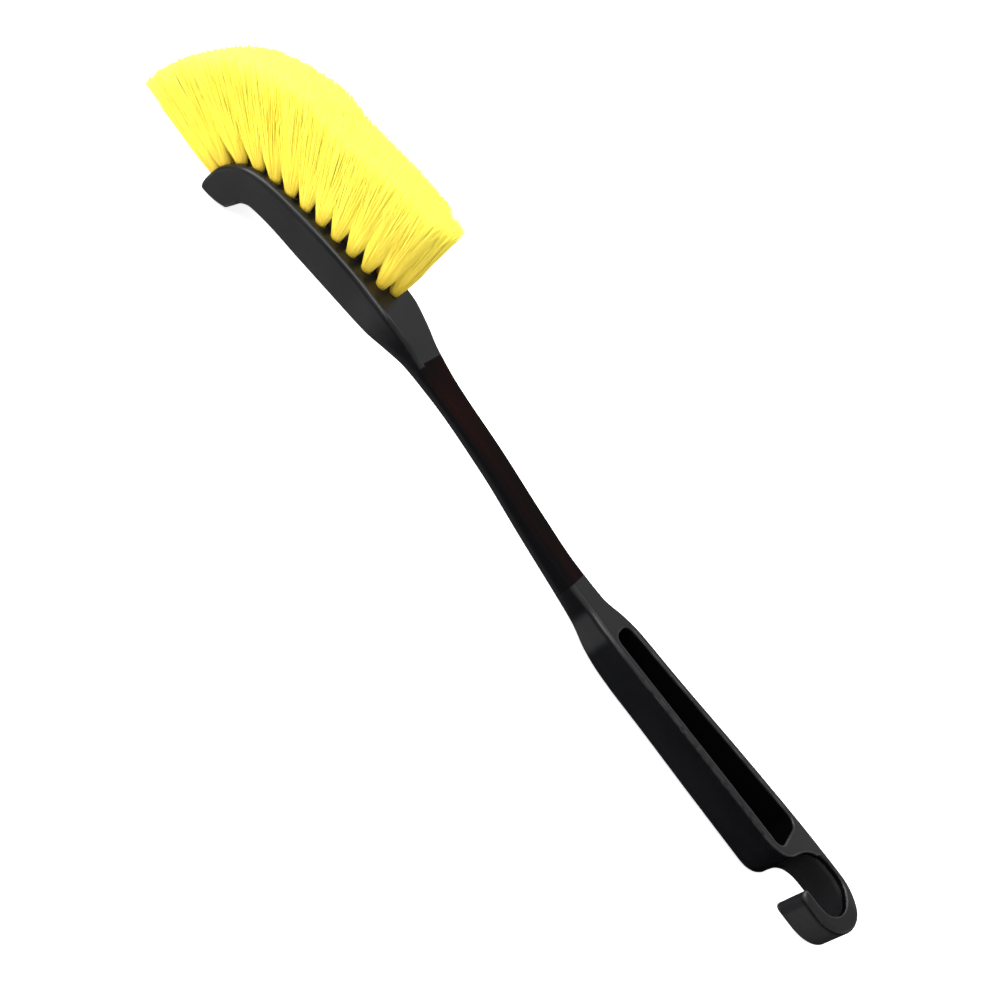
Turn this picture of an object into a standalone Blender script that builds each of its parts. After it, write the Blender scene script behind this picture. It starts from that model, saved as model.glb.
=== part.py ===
"""Wheel brush: a one-piece moulded handle with a hanging hook, and tufts stapled into its head.

Frame: +X runs from the brush head to the hook, +Z is the bristle side, and the brush lies on its
back on z = 0. The origin is the middle of the overall length, on the surface the brush lies on.
Sizes are in metres. Distances called "station" are measured along X from the front of the nose.
"""

import math

import bmesh
import bpy
import numpy as np
from mathutils import Matrix, Vector

MM = 0.001

# Driving dimensions
HANDLE_LENGTH = 430 * MM
BRISTLE_OVERHANG = 50 * MM
NOSE_X = -(HANDLE_LENGTH - BRISTLE_OVERHANG) / 2
FIT_GAP = 0.3 * MM

# The nose's lug reaches below the grip's flat back by this much, and its front edge is at z = 0
BACK_HEIGHT = 3 * MM

# Handle body: (station, value) pairs in millimetres, joined by a smooth curve. The underside and
# the top are measured from the grip's back.
UNDERSIDE = [(0, 0.6), (0.6, -1.4), (1.8, -3), (15.2, -0.1), (18.8, 7.2), (24, 10.6), (56, 14),
             (92, 17), (118, 19.4), (136, 19), (173, 15.2), (208, 9.5), (243, 4.4), (268, 0.9),
             (290, 0), (430, 0)]
TOP = [(0, 4.2), (1.3, 9.6), (5.5, 17), (12, 22.4), (22, 26), (39, 29), (60, 31.4), (82, 32.5),
       (96, 32.2), (110, 30.4), (122, 27.9), (138, 25.3), (173, 22.8), (208, 18.9), (232, 16.8),
       (250, 16.6), (268, 17.9), (290, 18.4), (385, 19.9), (400, 19.8), (430, 19)]
HALF_WIDTH = [(0, 12.3), (2, 12.9), (30, 12.9), (70, 13.4), (96, 13.5), (108, 11.9), (120, 9.8),
              (138, 9), (160, 8.2), (185, 7.5), (230, 7.1), (250, 7.3), (262, 9.6), (274, 10.9),
              (300, 11.3), (340, 12.8), (390, 14.2), (412, 14.5)]
EDGE_RADIUS = [(0, 0.8), (14, 1.2), (100, 1.6), (125, 2.4), (240, 2.6), (275, 2), (430, 1.8)]
HOOK_END_START = 412 * MM
HOOK_END_LENGTH = HANDLE_LENGTH - HOOK_END_START
MIN_HALF_WIDTH = 1.2 * MM
CORNER_POINTS = 5
SHARP_ANGLE = 35.0
# Cross-sections: (from station, to station, spacing) in millimetres, closer where the shape turns
SECTION_BANDS = [(0, 3, 0.6), (3, 26, 1.6), (26, 96, 7), (96, 140, 3.6), (140, 244, 6.5),
                 (244, 292, 3), (292, 412, 12), (412, 424, 2), (424, 430, 0.75)]
LAST_SECTION = HANDLE_LENGTH - 0.05 * MM
CUT_HEIGHT = 40 * MM

# Grip pocket, open on the bristle side
POCKET_START = 266 * MM
POCKET_END = 381 * MM
POCKET_FLOOR = BACK_HEIGHT + 3.5 * MM
POCKET_FRONT_HALF_WIDTH = 6.6 * MM
POCKET_REAR_HALF_WIDTH = 10.2 * MM
POCKET_CORNER = 5 * MM
POCKET_CORNER_POINTS = 7

# Hook gap in plan, (station, y) in millimetres: the grip's rounded end, the strap's inner wall,
# the bend and the tip, closed outside the handle's near side
HOOK_GAP = [(368, -14.6), (376, -13.9), (383, -11.2), (387, -7), (389.4, -1.6), (392, 3.4),
            (396, 7.6), (401.5, 10), (407, 10.5), (412, 10.2), (417.4, 7.8), (420.6, 3.8),
            (421.4, -0.6), (420, -5), (416.4, -8.3), (411, -9.6), (402.6, -9.8), (401.2, -11),
            (401.4, -12.6), (402.8, -14), (405.4, -15.2)]
GAP_OUTSIDE_Y = -20 * MM
TIP_DROP = 3.3 * MM
TIP_DROP_FROM_Y = 6 * MM
TIP_DROP_TO_Y = -12 * MM
TIP_DROP_START = 397 * MM
TIP_CUTTER_SIZE = (60 * MM, 40 * MM, 20 * MM)

# Tufts
TUFT_PITCH = 9.1 * MM
NEAR_ROW_TUFTS = 12
FAR_ROW_TUFTS = 11
FIRST_TUFT_ARC = 0.3 * MM
LAST_TUFT_STATION = 85.7 * MM
END_TUFT_STATION = 91.0 * MM
END_TUFT_Y = 2.3 * MM
ROW_Y = 6.4 * MM
ROW_REAR_Y = 2.6 * MM
ROW_TURN_START = 30 * MM
HOLE_RADIUS = 2.6 * MM
HOLE_DEPTH = 7 * MM
TUFT_ROOT_RADIUS = HOLE_RADIUS - FIT_GAP
TUFT_TIP_RADIUS = 4.3 * MM
TUFT_SINK = 6.4 * MM
TUFT_MAX_LENGTH = 46 * MM
TRIM_HEIGHT = BACK_HEIGHT + 72.5 * MM
TRIM_STATION = 70 * MM
TRIM_SLOPE = 0.16
TUFT_SIDES = 14
FRONT_LEAN = 77.0
LARGEST_LEAN = 75.5
FINAL_LEAN = -8.0
LEAN_DECAY = 53 * MM
FRONT_TUFT_ARC = 2.8 * MM
SPLAY = 5.0

# Anchor plates, each folded into the lower end of its tuft
ANCHOR_WIDTH = 4.3 * MM
ANCHOR_HEIGHT = 1.8 * MM
ANCHOR_THICKNESS = 0.6 * MM
ANCHOR_SLOT = ANCHOR_THICKNESS + 2 * FIT_GAP
ANCHOR_SLOT_DEPTH = ANCHOR_HEIGHT + 2 * FIT_GAP

PLASTIC_COLOUR = (0.012, 0.012, 0.013, 1)
FILAMENT_COLOUR = (0.90, 0.80, 0.03, 1)
STEEL_COLOUR = (0.55, 0.56, 0.58, 1)


def clear_scene():
    for obj in list(bpy.data.objects):
        bpy.data.objects.remove(obj, do_unlink=True)


def make_collection(name):
    collection = bpy.data.collections.new(name)
    bpy.context.scene.collection.children.link(collection)
    return collection


def make_material(name, colour, roughness, metallic=0.0):
    material = bpy.data.materials.new(name)
    material.use_nodes = True
    shader = material.node_tree.nodes["Principled BSDF"]
    shader.inputs["Base Color"].default_value = colour
    shader.inputs["Roughness"].default_value = roughness
    shader.inputs["Metallic"].default_value = metallic
    material.diffuse_color = colour
    return material


def smooth_curve(points, at):
    """Value at each station of the smooth curve through points that never overshoots them."""
    x, y = np.array(points, float).T
    step = np.diff(x)
    slope = np.diff(y) / step
    tangent = np.zeros_like(y)
    same_way = slope[:-1] * slope[1:] > 0
    before, after = 2 * step[1:] + step[:-1], step[1:] + 2 * step[:-1]
    with np.errstate(divide="ignore", invalid="ignore"):
        mean = (before + after) / (before / slope[:-1] + after / slope[1:])
    tangent[1:-1] = np.where(same_way, mean, 0)
    tangent[0], tangent[-1] = slope[0], slope[-1]
    i = np.clip(np.searchsorted(x, at, side="right") - 1, 0, len(step) - 1)
    t = (np.clip(at, x[0], x[-1]) - x[i]) / step[i]
    rise = (1 + 2 * t) * (1 - t) ** 2 * y[i] + t ** 2 * (3 - 2 * t) * y[i + 1]
    lean = t * (1 - t) ** 2 * step[i] * tangent[i] - t ** 2 * (1 - t) * step[i] * tangent[i + 1]
    return rise + lean


def profile(points, station):
    """A profile's value in metres at stations in metres."""
    return smooth_curve(points, np.asarray(station) / MM) * MM


def underside(station):
    return BACK_HEIGHT + profile(UNDERSIDE, station)


def top(station):
    return BACK_HEIGHT + profile(TOP, station)


def half_width(station):
    """Half the handle's width, with the hook's end closing as a half ellipse."""
    past = np.clip((station - HOOK_END_START) / HOOK_END_LENGTH, 0, 1)
    return profile(HALF_WIDTH, station) * np.sqrt(1 - past ** 2)


def section(station):
    """One cross-section of the handle: a rounded rectangle of (y, z) points."""
    wide = max(float(half_width(station)), MIN_HALF_WIDTH)
    low, high = float(underside(station)), float(top(station))
    radius = min(float(profile(EDGE_RADIUS, station)), 0.45 * (high - low), 0.9 * wide)
    points = []
    for corner, (side, centre_z) in enumerate(((1, low + radius), (1, high - radius),
                                               (-1, high - radius), (-1, low + radius))):
        start = -math.pi / 2 + corner * math.pi / 2
        for angle in np.linspace(start, start + math.pi / 2, CORNER_POINTS):
            points.append((side * (wide - radius) + radius * math.cos(angle),
                           centre_z + radius * math.sin(angle)))
    return points


def section_stations():
    bands = [np.arange(a, b, step) * MM for a, b, step in SECTION_BANDS]
    return np.concatenate(bands + [[LAST_SECTION]])


def add_mesh(name, verts, faces, collection, material=None):
    mesh = bpy.data.meshes.new(name)
    mesh.from_pydata(verts, [], faces)
    mesh.update()
    return add_object(name, mesh, collection, material)


def add_object(name, mesh, collection, material=None):
    obj = bpy.data.objects.new(name, mesh)
    collection.objects.link(obj)
    if material:
        mesh.materials.append(material)
    return obj


def loft_handle(collection, material):
    """The handle's body: cross-sections joined along X and closed at both ends."""
    stations = section_stations()
    verts = [(NOSE_X + s, y, z) for s in stations for y, z in section(s)]
    ring = 4 * CORNER_POINTS
    faces = [list(range(ring))[::-1], [(len(stations) - 1) * ring + k for k in range(ring)]]
    for row in range(len(stations) - 1):
        for k in range(ring):
            a, b = row * ring + k, row * ring + (k + 1) % ring
            faces.append((a, b, b + ring, a + ring))
    return add_mesh("handle", verts, faces, collection, material)


def as_cutter(obj):
    obj.hide_render = True
    obj.display_type = "WIRE"
    return obj


def outline_solid(name, outline, low, high, collection):
    """A flat outline in plan, made solid from height low to height high."""
    curve = bpy.data.curves.new(name, "CURVE")
    curve.dimensions = "2D"
    curve.fill_mode = "BOTH"
    curve.extrude = (high - low) / 2
    spline = curve.splines.new("POLY")
    spline.points.add(len(outline) - 1)
    for point, (x, y) in zip(spline.points, outline):
        point.co = (x, y, 0, 1)
    spline.use_cyclic_u = True
    source = bpy.data.objects.new(name + "_curve", curve)
    collection.objects.link(source)
    source.location.z = (high + low) / 2
    bpy.context.view_layer.update()
    evaluated = source.evaluated_get(bpy.context.evaluated_depsgraph_get())
    mesh = bpy.data.meshes.new_from_object(evaluated)
    work = bmesh.new()
    work.from_mesh(mesh)
    bmesh.ops.remove_doubles(work, verts=work.verts, dist=0.00001)
    bmesh.ops.recalc_face_normals(work, faces=work.faces)
    work.to_mesh(mesh)
    work.free()
    solid = add_object(name, mesh, collection)
    solid.matrix_world = source.matrix_world.copy()
    bpy.data.objects.remove(source, do_unlink=True)
    return as_cutter(solid)


def round_through(points, steps=3):
    """A smooth line through plan points (a Catmull-Rom spline), with steps points per stretch."""
    p = np.array(points, float)
    padded = np.vstack([2 * p[0] - p[1], p, 2 * p[-1] - p[-2]])
    line = []
    for a, b, c, d in zip(padded, padded[1:], padded[2:], padded[3:]):
        for t in np.arange(steps) / steps:
            line.append(0.5 * (2 * b + (c - a) * t + (2 * a - 5 * b + 4 * c - d) * t ** 2
                               + (3 * b - a - 3 * c + d) * t ** 3))
    line.append(p[-1])
    return line


def pocket_outline():
    """The pocket in plan: a slot that widens towards the hook, with rounded corners."""
    ends = [(POCKET_START + POCKET_CORNER, POCKET_FRONT_HALF_WIDTH, math.pi),
            (POCKET_END - POCKET_CORNER, POCKET_REAR_HALF_WIDTH, math.pi / 2)]
    far_side = []
    for station, wide, first_angle in ends:
        for angle in np.linspace(first_angle, first_angle - math.pi / 2, POCKET_CORNER_POINTS):
            far_side.append((NOSE_X + station + POCKET_CORNER * math.cos(angle),
                             wide - POCKET_CORNER + POCKET_CORNER * math.sin(angle)))
    return far_side + [(x, -y) for x, y in reversed(far_side)]


def gap_outline():
    """The hook gap in plan, open to the near side."""
    line = [(NOSE_X + x * MM, y * MM) for x, y in round_through(HOOK_GAP)]
    return line + [(line[-1][0], GAP_OUTSIDE_Y), (line[0][0], GAP_OUTSIDE_Y)]


def tip_wedge(collection):
    """The block above the hook's sloping top, which falls from the strap to the tip."""
    fall = math.atan2(TIP_DROP, TIP_DROP_FROM_Y - TIP_DROP_TO_Y)
    size = Vector(TIP_CUTTER_SIZE)
    bpy.ops.mesh.primitive_cube_add(size=1)
    block = bpy.context.active_object
    block.name = "cut_hook_top"
    block.data.transform(Matrix.Translation((size.x / 2, -size.y / 2, size.z / 2))
                         @ Matrix.Diagonal((*size, 1)))
    block.location = (NOSE_X + TIP_DROP_START, TIP_DROP_FROM_Y, float(top(HANDLE_LENGTH)))
    block.rotation_euler.x = fall
    move_to(block, collection)
    return as_cutter(block)


def move_to(obj, collection):
    for other in list(obj.users_collection):
        other.objects.unlink(obj)
    collection.objects.link(obj)


def cut(obj, cutter):
    boolean = obj.modifiers.new("cut_" + cutter.name, "BOOLEAN")
    boolean.operation = "DIFFERENCE"
    boolean.solver = "EXACT"
    boolean.object = cutter


def top_arc():
    """Stations along the head's top and the length of surface from the nose to each."""
    station = np.linspace(0, 110 * MM, 4000)
    height = top(station)
    return station, np.concatenate([[0], np.cumsum(np.hypot(np.diff(station), np.diff(height)))])


def lean_at(arc):
    """Forward lean of a tuft in degrees: steep at the nose, and fading towards the neck."""
    lean = FINAL_LEAN + (FRONT_LEAN - FINAL_LEAN) * math.exp((FRONT_TUFT_ARC - arc) / LEAN_DECAY)
    return min(LARGEST_LEAN, lean)


def tuft_layout():
    """Every tuft as (name, root point on the head's top, direction, length)."""
    station, arc = top_arc()
    last = float(np.interp(LAST_TUFT_STATION, station, arc))
    places = []
    for row, side, count, shift in (("near", -1, NEAR_ROW_TUFTS, 0), ("far", 1, FAR_ROW_TUFTS, 0.5)):
        for k in range(count):
            along = max(FIRST_TUFT_ARC, last - (count - 1 - k + shift) * TUFT_PITCH)
            s = float(np.interp(along, arc, station))
            turn = np.clip((s - ROW_TURN_START) / (LAST_TUFT_STATION - ROW_TURN_START), 0, 1)
            y = side * (ROW_Y + (ROW_REAR_Y - ROW_Y) * turn ** 2)
            places.append((f"tuft_{row}_{k + 1:02d}", s, y, along, side * SPLAY))
    end_arc = float(np.interp(END_TUFT_STATION, station, arc))
    places.append(("tuft_end", END_TUFT_STATION, END_TUFT_Y, end_arc, 0.0))
    layout = []
    for name, s, y, along, splay in places:
        lean, out = math.radians(lean_at(along)), math.radians(splay)
        way = Vector((-math.sin(lean) * math.cos(out), math.sin(out),
                      math.cos(lean) * math.cos(out)))
        root = Vector((NOSE_X + s, y, float(top(s))))
        ceiling = TRIM_HEIGHT + TRIM_SLOPE * (s - TRIM_STATION)
        length = min(TUFT_MAX_LENGTH, (ceiling - root.z) / (way.z - TRIM_SLOPE * way.x))
        layout.append((name, root, way, length))
    return layout


def along_way(root, way):
    """The matrix that puts +Z along way with X across the head, at root."""
    z = way.normalized()
    x = Vector((0, 1, 0)).cross(z).normalized()
    y = z.cross(x)
    return Matrix.Translation(root) @ Matrix((x, y, z)).transposed().to_4x4()


def round_solid(name, low_radius, high_radius, low, high, place, collection, material=None):
    """A cylinder or cone frustum between two heights on its own axis."""
    work = bmesh.new()
    bmesh.ops.create_cone(work, cap_ends=True, segments=TUFT_SIDES, radius1=low_radius,
                          radius2=high_radius, depth=high - low)
    bmesh.ops.translate(work, verts=work.verts, vec=(0, 0, (low + high) / 2))
    mesh = bpy.data.meshes.new(name)
    work.to_mesh(mesh)
    work.free()
    obj = add_object(name, mesh, collection, material)
    obj.matrix_world = place
    return obj


def block_solid(name, size, centre, place, collection, material=None):
    """A box of the given size about a centre, in the frame of place."""
    work = bmesh.new()
    bmesh.ops.create_cube(work, size=1, matrix=Matrix.Translation(centre)
                          @ Matrix.Diagonal((*size, 1)))
    mesh = bpy.data.meshes.new(name)
    work.to_mesh(mesh)
    work.free()
    obj = add_object(name, mesh, collection, material)
    obj.matrix_world = place
    return obj


def join_cutters(name, parts, collection):
    """One cutter made of cutters that don't meet."""
    work = bmesh.new()
    for part in parts:
        mesh = part.data.copy()
        mesh.transform(part.matrix_world)
        work.from_mesh(mesh)
        bpy.data.meshes.remove(mesh)
        bpy.data.objects.remove(part, do_unlink=True)
    mesh = bpy.data.meshes.new(name)
    work.to_mesh(mesh)
    work.free()
    return as_cutter(add_object(name, mesh, collection))


def make_tuft(name, root, way, length, parts, cutters, filament, steel):
    """A flaring tuft, slotted over its anchor, and the anchor; returns the tuft's hole."""
    place = along_way(root, way)
    tuft = round_solid(name, TUFT_ROOT_RADIUS, TUFT_TIP_RADIUS, -TUFT_SINK, length, place, parts,
                       filament)
    slot_size = (4 * HOLE_RADIUS, ANCHOR_SLOT, 2 * ANCHOR_SLOT_DEPTH)
    slot = block_solid("cut_slot_" + name, slot_size, (0, 0, -TUFT_SINK), place, cutters)
    cut(tuft, as_cutter(slot))
    anchor_size = (ANCHOR_WIDTH, ANCHOR_THICKNESS, ANCHOR_HEIGHT)
    block_solid(name.replace("tuft", "anchor"), anchor_size,
                (0, 0, -TUFT_SINK + ANCHOR_HEIGHT / 2 + FIT_GAP / 2), place, parts, steel)
    return round_solid("cut_hole_" + name, HOLE_RADIUS, HOLE_RADIUS, -HOLE_DEPTH, HOLE_DEPTH, place,
                       cutters)


def main():
    clear_scene()
    parts, cutters = make_collection("wheel_brush"), make_collection("cutters")
    plastic = make_material("handle_plastic", PLASTIC_COLOUR, 0.42)
    filament = make_material("filament_yellow", FILAMENT_COLOUR, 0.5)
    steel = make_material("anchor_steel", STEEL_COLOUR, 0.35, 1.0)

    handle = loft_handle(parts, plastic)
    cut(handle, outline_solid("cut_pocket", pocket_outline(), POCKET_FLOOR, CUT_HEIGHT, cutters))
    cut(handle, outline_solid("cut_hook_gap", gap_outline(), -CUT_HEIGHT, CUT_HEIGHT, cutters))
    cut(handle, tip_wedge(cutters))

    holes = [make_tuft(name, root, way, length, parts, cutters, filament, steel)
             for name, root, way, length in tuft_layout()]
    bpy.context.view_layer.update()
    cut(handle, join_cutters("cut_tuft_holes", holes, cutters))
    handle.data.shade_smooth()
    handle.data.set_sharp_from_angle(angle=math.radians(SHARP_ANGLE))


main()
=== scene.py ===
"""A wheel brush on a pale floor: moulded handle with a hanging hook, filament tufts, steel anchors.

Shapes are worked out in millimetres, with "station" for the distance along X from the front of
the nose and heights measured from the flat back of the grip, and become metres in the row frame
when their mesh is made.
"""

from __future__ import annotations

import logging
import math
from collections.abc import Callable, Sequence
from dataclasses import dataclass, field, replace
from enum import Enum

import bpy
import numpy as np
from mathutils import Matrix, Vector

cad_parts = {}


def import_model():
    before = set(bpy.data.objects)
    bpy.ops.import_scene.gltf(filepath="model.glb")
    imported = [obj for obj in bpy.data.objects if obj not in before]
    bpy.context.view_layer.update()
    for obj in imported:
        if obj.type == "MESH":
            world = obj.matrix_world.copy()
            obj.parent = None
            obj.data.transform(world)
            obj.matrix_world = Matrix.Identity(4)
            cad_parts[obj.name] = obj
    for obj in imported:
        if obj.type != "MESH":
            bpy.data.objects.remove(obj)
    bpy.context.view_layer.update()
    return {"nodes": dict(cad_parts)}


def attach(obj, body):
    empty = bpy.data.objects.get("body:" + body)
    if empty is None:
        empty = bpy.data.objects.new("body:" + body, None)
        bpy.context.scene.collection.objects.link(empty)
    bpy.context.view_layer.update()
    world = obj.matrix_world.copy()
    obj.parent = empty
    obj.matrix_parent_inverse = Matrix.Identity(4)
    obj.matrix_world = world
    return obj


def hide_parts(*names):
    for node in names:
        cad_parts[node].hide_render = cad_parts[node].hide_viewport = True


LOG = logging.getLogger("wheel_brush")
MM = 0.001
NOSE_X_MM = -190.0
BACK_HEIGHT_MM = 3.0
ROOT_BODY = "root"
TINY = 1e-9

Array = np.ndarray
Points = tuple[tuple[float, float], ...]
Colour = tuple[float, float, float]
Distance = Callable[[Array, Array, Array], Array]


class Slot(Enum):
    """The record's material slots."""

    HANDLE = "handle_plastic"
    BRISTLE = "bristle_filament"
    ANCHOR = "anchor_steel"


class Row(Enum):
    """The rows of tufts: the side of the head each stands on."""

    NEAR = -1
    FAR = 1
    END = 0


# ---------------- curves and distances


@dataclass(frozen=True)
class Profile:
    """A smooth curve through (station, value) points that never overshoots them.

    Between two points it is the cubic whose slope at each point is the weighted harmonic mean of
    the straight slopes on both sides, or zero where they differ in sign.
    """

    points: Points

    def __call__(self, at: Array) -> Array:
        """Gives the curve's value.

        Args:
            at: stations, of any shape.

        Returns:
            The values, of the same shape.
        """
        x, y = np.array(self.points, float).T
        step = np.diff(x)
        slope = np.diff(y) / step
        tangent = np.zeros_like(y)
        before, after = 2 * step[1:] + step[:-1], step[1:] + 2 * step[:-1]
        with np.errstate(divide="ignore", invalid="ignore"):
            mean = (before + after) / (before / slope[:-1] + after / slope[1:])
        tangent[1:-1] = np.where(slope[:-1] * slope[1:] > 0, mean, 0)
        tangent[0], tangent[-1] = slope[0], slope[-1]
        i = np.clip(np.searchsorted(x, at, side="right") - 1, 0, len(step) - 1)
        t = (np.clip(at, x[0], x[-1]) - x[i]) / step[i]
        rise = (1 + 2 * t) * (1 - t) ** 2 * y[i] + t**2 * (3 - 2 * t) * y[i + 1]
        lean = t * (1 - t) ** 2 * tangent[i] - t**2 * (1 - t) * tangent[i + 1]
        return rise + lean * step[i]

    def slope(self, at: Array, reach: float = 0.05) -> Array:
        """The curve's slope, as the rise over a stretch that reaches both ways."""
        return (self(at + reach) - self(at - reach)) / (2 * reach)


def rounded_meet(distances: Sequence[Array], radius: float | Array) -> Array:
    """Distance to the part that solids share, with the edges between them rounded.

    With q = each distance plus the radius, it is the length of q's positive parts, plus the
    largest q where all are negative, minus the radius.

    Args:
        distances: signed distances to the solids, negative inside.
        radius: radius of the rounded edge.

    Returns:
        The signed distance to the shared part.
    """
    parts = [d + radius for d in distances]
    outside = np.sqrt(sum(np.maximum(q, 0) ** 2 for q in parts))
    largest = parts[0]
    for q in parts[1:]:
        largest = np.maximum(largest, q)
    return outside + np.minimum(largest, 0) - radius


def outline_distance(x: Array, y: Array, outline: Array) -> Array:
    """Signed distance in plan to a closed outline, negative inside.

    It is the smallest distance to any of the outline's straight sides, with its sign from how
    often a line along +X from the point crosses the outline.

    Args:
        x: stations.
        y: sideways places, of a shape that broadcasts with x.
        outline: corners, one (x, y) pair a row.

    Returns:
        The distances, in the broadcast shape.
    """
    x, y = np.broadcast_arrays(x, y)
    px, py = x[..., None], y[..., None]
    ax, ay = outline.T
    bx, by = np.roll(outline, -1, axis=0).T
    run_x, run_y = bx - ax, by - ay
    t = np.clip(((px - ax) * run_x + (py - ay) * run_y) / (run_x**2 + run_y**2), 0, 1)
    away = np.sqrt(((px - ax - t * run_x) ** 2 + (py - ay - t * run_y) ** 2).min(-1))
    spans = (ay > py) != (by > py)
    with np.errstate(divide="ignore", invalid="ignore"):
        crossing = ax + (py - ay) * run_x / run_y
    inside = (spans & (px < crossing)).sum(-1) % 2 == 1
    return np.where(inside, -away, away)


def spline_through(points: Points, steps: int = 5) -> Array:
    """A smooth line through plan points: a Catmull-Rom spline.

    Args:
        points: the (x, y) points.
        steps: how many points each stretch becomes.

    Returns:
        The line's points, one a row.
    """
    p = np.array(points, float)
    p = np.vstack([2 * p[0] - p[1], p, 2 * p[-1] - p[-2]])
    a, b, c, d = (q[:, None, :] for q in (p[:-3], p[1:-2], p[2:-1], p[3:]))
    t = (np.arange(steps) / steps)[None, :, None]
    line = 2 * b + (c - a) * t + (2 * a - 5 * b + 4 * c - d) * t**2
    line = 0.5 * (line + (3 * b - a - 3 * c + d) * t**3)
    return np.vstack([line.reshape(-1, 2), p[-2]])


def ease(value: Array, low: float, high: float) -> Array:
    """A share that goes smoothly from 0 at low to 1 at high: 3 t² − 2 t³."""
    t = np.clip((value - low) / (high - low), 0, 1)
    return t * t * (3 - 2 * t)


# ---------------- meshes


def linked(name: str, data: bpy.types.ID) -> bpy.types.Object:
    """A new object with this data, in the scene."""
    obj = bpy.data.objects.new(name, data)
    bpy.context.scene.collection.objects.link(obj)
    return obj


def new_mesh(name: str, points_mm: Array, quads: Array) -> bpy.types.Object:
    """Puts quads into a new mesh object, moved from stations to the row frame.

    Args:
        name: the object's name.
        points_mm: station, y and height of each vertex.
        quads: four vertex numbers a row.

    Returns:
        The object, riding on the root body.
    """
    mesh = bpy.data.meshes.new(name)
    place = (points_mm + np.array([NOSE_X_MM, 0.0, BACK_HEIGHT_MM])) * MM
    mesh.vertices.add(len(place))
    mesh.vertices.foreach_set("co", place.astype(np.float32).ravel())
    mesh.loops.add(quads.size)
    mesh.loops.foreach_set("vertex_index", quads.astype(np.int32).ravel())
    mesh.polygons.add(len(quads))
    mesh.polygons.foreach_set("loop_start", np.arange(0, quads.size, 4, dtype=np.int32))
    mesh.polygons.foreach_set("use_smooth", np.ones(len(quads), bool))
    mesh.update(calc_edges=True)
    mesh.validate()
    obj = linked(name, mesh)
    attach(obj, ROOT_BODY)
    return obj


def add_share(obj: bpy.types.Object, name: str, values: Array) -> None:
    """Stores one number a vertex under a name that a material can read."""
    attribute = obj.data.attributes.new(name, "FLOAT", "POINT")
    attribute.data.foreach_set("value", values.astype(np.float32).ravel())


CELL_CORNERS = np.array([(i, j, k) for i in (0, 1) for j in (0, 1) for k in (0, 1)])
CELL_EDGES = ((0, 4), (1, 5), (2, 6), (3, 7), (0, 2), (1, 3), (4, 6), (5, 7),
              (0, 1), (2, 3), (4, 5), (6, 7))


def net_points(values: Array, axes: tuple[Array, Array, Array], cells: Array) -> Array:
    """One point in each cell the surface runs through.

    It is the mean of the places where the cell's edges cross zero, each found on a straight line
    between the edge's two values.

    Args:
        values: distance at every grid point.
        axes: the grid's places along X, Y and Z.
        cells: lowest corner numbers of the cells, one triple a row.

    Returns:
        The points, one a row.
    """
    index = cells[:, None, :] + CELL_CORNERS[None, :, :]
    corner = values[index[..., 0], index[..., 1], index[..., 2]]
    place = np.stack([axes[a][index[..., a]] for a in range(3)], axis=-1)
    total = np.zeros((len(cells), 3))
    count = np.zeros((len(cells), 1))
    for a, b in CELL_EDGES:
        crossed = ((corner[:, a] < 0) != (corner[:, b] < 0))[:, None]
        gap = corner[:, a] - corner[:, b]
        t = (corner[:, a] / np.where(np.abs(gap) < TINY, 1.0, gap))[:, None]
        total += np.where(crossed, place[:, a] + t * (place[:, b] - place[:, a]), 0)
        count += crossed
    return total / count


def net_quads(inside: Array, number: Array) -> Array:
    """One quad across each grid edge that leaves or enters the solid, turned outwards.

    Args:
        inside: whether each grid point is in the solid.
        number: the vertex number of each cell, or -1.

    Returns:
        Four vertex numbers a row.
    """
    found = []
    for axis in range(3):
        b, c = (axis + 1) % 3, (axis + 2) % 3
        low, high = [slice(None)] * 3, [slice(None)] * 3
        low[axis], high[axis] = slice(None, -1), slice(1, None)
        low[b] = high[b] = low[c] = high[c] = slice(1, -1)
        start, end = inside[tuple(low)], inside[tuple(high)]
        edge = np.argwhere(start != end)
        edge[:, b] += 1
        edge[:, c] += 1
        ring = []
        for shift_b, shift_c in ((-1, -1), (0, -1), (0, 0), (-1, 0)):
            cell = edge.copy()
            cell[:, b] += shift_b
            cell[:, c] += shift_c
            ring.append(number[cell[:, 0], cell[:, 1], cell[:, 2]])
        quads = np.stack(ring, axis=1)
        leaves = inside[edge[:, 0], edge[:, 1], edge[:, 2]]
        found.append(np.where(leaves[:, None], quads, quads[:, ::-1]))
    return np.vstack(found)


def settle_on(distance: Distance, points: Array, rounds: int = 4, reach: float = 0.02,
              least_slope: float = 0.05, most_step: float = 0.4) -> Array:
    """Moves points onto a solid's surface along its slope: p − d g / |g|², a few times.

    Args:
        distance: the solid's signed distance.
        points: points near the surface.
        rounds: how many times they move.
        reach: step of the slope's differences.
        least_slope: the smallest |g|² it divides by.
        most_step: how far a point moves at most in a round, over |g|.

    Returns:
        The moved points.
    """
    for _ in range(rounds):
        value, slope = distance(*points.T), slope_of(distance, points, reach)
        share = value / np.maximum((slope**2).sum(1), least_slope)
        points = points - np.clip(share, -most_step, most_step)[:, None] * slope
    return points


def slope_of(distance: Distance, points: Array, reach: float) -> Array:
    """The direction and rate in which a distance grows, from differences along each axis.

    Args:
        distance: the solid's signed distance.
        points: where it is wanted.
        reach: step of the differences.

    Returns:
        One vector for each point.
    """
    slope = np.empty_like(points)
    for axis in range(3):
        shift = np.zeros(3)
        shift[axis] = reach
        ahead, behind = distance(*(points + shift).T), distance(*(points - shift).T)
        slope[:, axis] = (ahead - behind) / (2 * reach)
    return slope


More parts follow.
